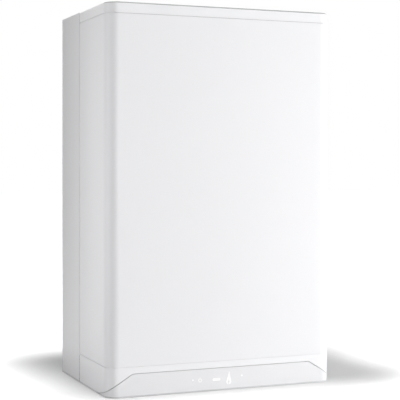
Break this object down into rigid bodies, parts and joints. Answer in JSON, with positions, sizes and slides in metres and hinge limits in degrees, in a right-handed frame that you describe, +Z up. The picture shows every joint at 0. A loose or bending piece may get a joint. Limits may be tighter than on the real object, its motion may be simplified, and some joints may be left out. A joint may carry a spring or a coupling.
{
  "type": "combi boiler",
  "caption": "Wall-hung condensing combi boiler: white casing with a lift-off cover, a swing-down control box, and heating, hot water, gas and flue parts inside.",
  "frame": {"origin": "middle of the casing's foot, on its bottom plane", "axes": "+Z up, -Y out of the front, +Y into the wall, +X to the right seen from the front"},
  "size_m": [0.4, 0.265, 0.63],
  "materials": {
    "white_enamel": "smooth satin enamel",
    "chassis_enamel": "satin enamel",
    "white_moulding": "satin gloss",
    "grey_moulding": "gloss",
    "light_guide": "milky, lit",
    "galvanised": "galvanised",
    "screw_steel": "zinc plated",
    "foam": "closed-cell foam",
    "box_plastic": "moulded",
    "board": "solder mask",
    "stainless": "stainless",
    "cast_aluminium": "cast",
    "red_paint": "gloss",
    "black_rubber": "matt",
    "ceramic_fibre": "fibrous",
    "ceramic": "glazed",
    "flue_plastic": "moulded",
    "black_plastic": "moulded",
    "red_plastic": "moulded",
    "pump_paint": "enamel",
    "copper": "drawn copper",
    "brass": "cast"
  },
  "bodies": {
    "chassis": {"chassis_back": "galvanised", "chassis_left_side": "chassis_enamel", "chassis_right_side": "chassis_enamel", "top_plate": "galvanised", "bottom_plate": "galvanised", "cable_gland": "black_plastic", "mounting_panel": "galvanised", "flue_seal": "black_rubber", "flue_collar": "flue_plastic", "flue_duct": "flue_plastic", "expansion_vessel_front": "red_paint", "expansion_vessel_rear": "red_paint", "vessel_diaphragm": "black_rubber", "vessel_hose": "black_rubber", "heat_exchanger_shell": "stainless", "heat_exchanger_coil": "stainless", "burner_tube": "stainless", "burner_door": "cast_aluminium", "burner_door_nuts": "screw_steel", "door_insulation": "ceramic_fibre", "ignition_electrode": "ceramic", "ignition_lead": "black_rubber", "premix_duct": "cast_aluminium", "fan_housing": "cast_aluminium", "fan_motor": "black_plastic", "venturi": "black_plastic", "air_intake_duct": "flue_plastic", "gas_valve_body": "cast_aluminium", "gas_pipe": "copper", "pump_housing": "brass", "pump_motor": "pump_paint", "air_vent_body": "brass", "flow_block": "brass", "return_block": "brass", "plate_heat_exchanger": "stainless", "diverter_motor": "black_plastic", "flow_pipe": "copper", "return_pipe": "copper", "condensate_trap": "flue_plastic", "condensate_hose": "black_rubber"},
    "front_cover": {"front_panel": "white_enamel", "top_band": "white_moulding", "bottom_band": "white_moulding", "cover_insulation": "foam", "cover_screws": "screw_steel"},
    "control_box": {"control_fascia": "grey_moulding", "symbol_light_guide": "light_guide", "control_box_base": "box_plastic", "control_box_lid": "box_plastic", "main_circuit_board": "board", "display_board": "board", "control_box_pins": "screw_steel"},
    "fan_rotor": {"fan_impeller": "black_plastic"},
    "pump_rotor": {"pump_impeller": "black_plastic"},
    "turbine": {"flow_turbine": "black_plastic"},
    "diverter": {"diverter_spindle": "brass"},
    "plunger": {"gas_valve_plunger": "brass"},
    "vent_float": {"air_vent_float": "black_plastic"},
    "relief_knob": {"relief_valve_knob": "red_plastic"},
    "fill_tap": {"fill_tap_knob": "black_plastic"}
  },
  "joints": [
    {"name": "cover_lift_off", "type": "slide", "parent": "chassis", "child": "front_cover", "axis": [0, -0.9703, 0.2419], "range_m": [0, 0.3]},
    {"name": "control_box_swing", "type": "hinge", "parent": "chassis", "child": "control_box", "pos_m": [0, 0.005, 0.014], "axis": [1, 0, 0], "range_deg": [0, 90]},
    {"name": "fan_spin", "type": "hinge", "parent": "chassis", "child": "fan_rotor", "pos_m": [0.1, -0.02, 0.44], "axis": [1, 0, 0], "continuous": true},
    {"name": "pump_spin", "type": "hinge", "parent": "chassis", "child": "pump_rotor", "pos_m": [0.12, 0.04, 0.19], "axis": [0, 1, 0], "continuous": true},
    {"name": "flow_turbine_spin", "type": "hinge", "parent": "chassis", "child": "turbine", "pos_m": [0.065, 0.075, 0.054], "axis": [0, 0, 1], "continuous": true},
    {"name": "diverter_stroke", "type": "slide", "parent": "chassis", "child": "diverter", "axis": [0, 1, 0], "range_m": [0, 0.008]},
    {"name": "gas_plunger_stroke", "type": "slide", "parent": "chassis", "child": "plunger", "axis": [0, -1, 0], "range_m": [0, 0.003], "stiffness_N_per_m": 600, "springref_m": -0.002},
    {"name": "vent_float_rise", "type": "slide", "parent": "chassis", "child": "vent_float", "axis": [0, 0, 1], "range_m": [0, 0.008]},
    {"name": "relief_knob_turn", "type": "hinge", "parent": "chassis", "child": "relief_knob", "pos_m": [0.125, 0.024, 0.056], "axis": [0, -1, 0], "range_deg": [0, 90]},
    {"name": "fill_tap_turn", "type": "hinge", "parent": "chassis", "child": "fill_tap", "pos_m": [0.097, 0.075, 0.012], "axis": [0, 0, 1], "range_deg": [0, 90]}
  ]
}
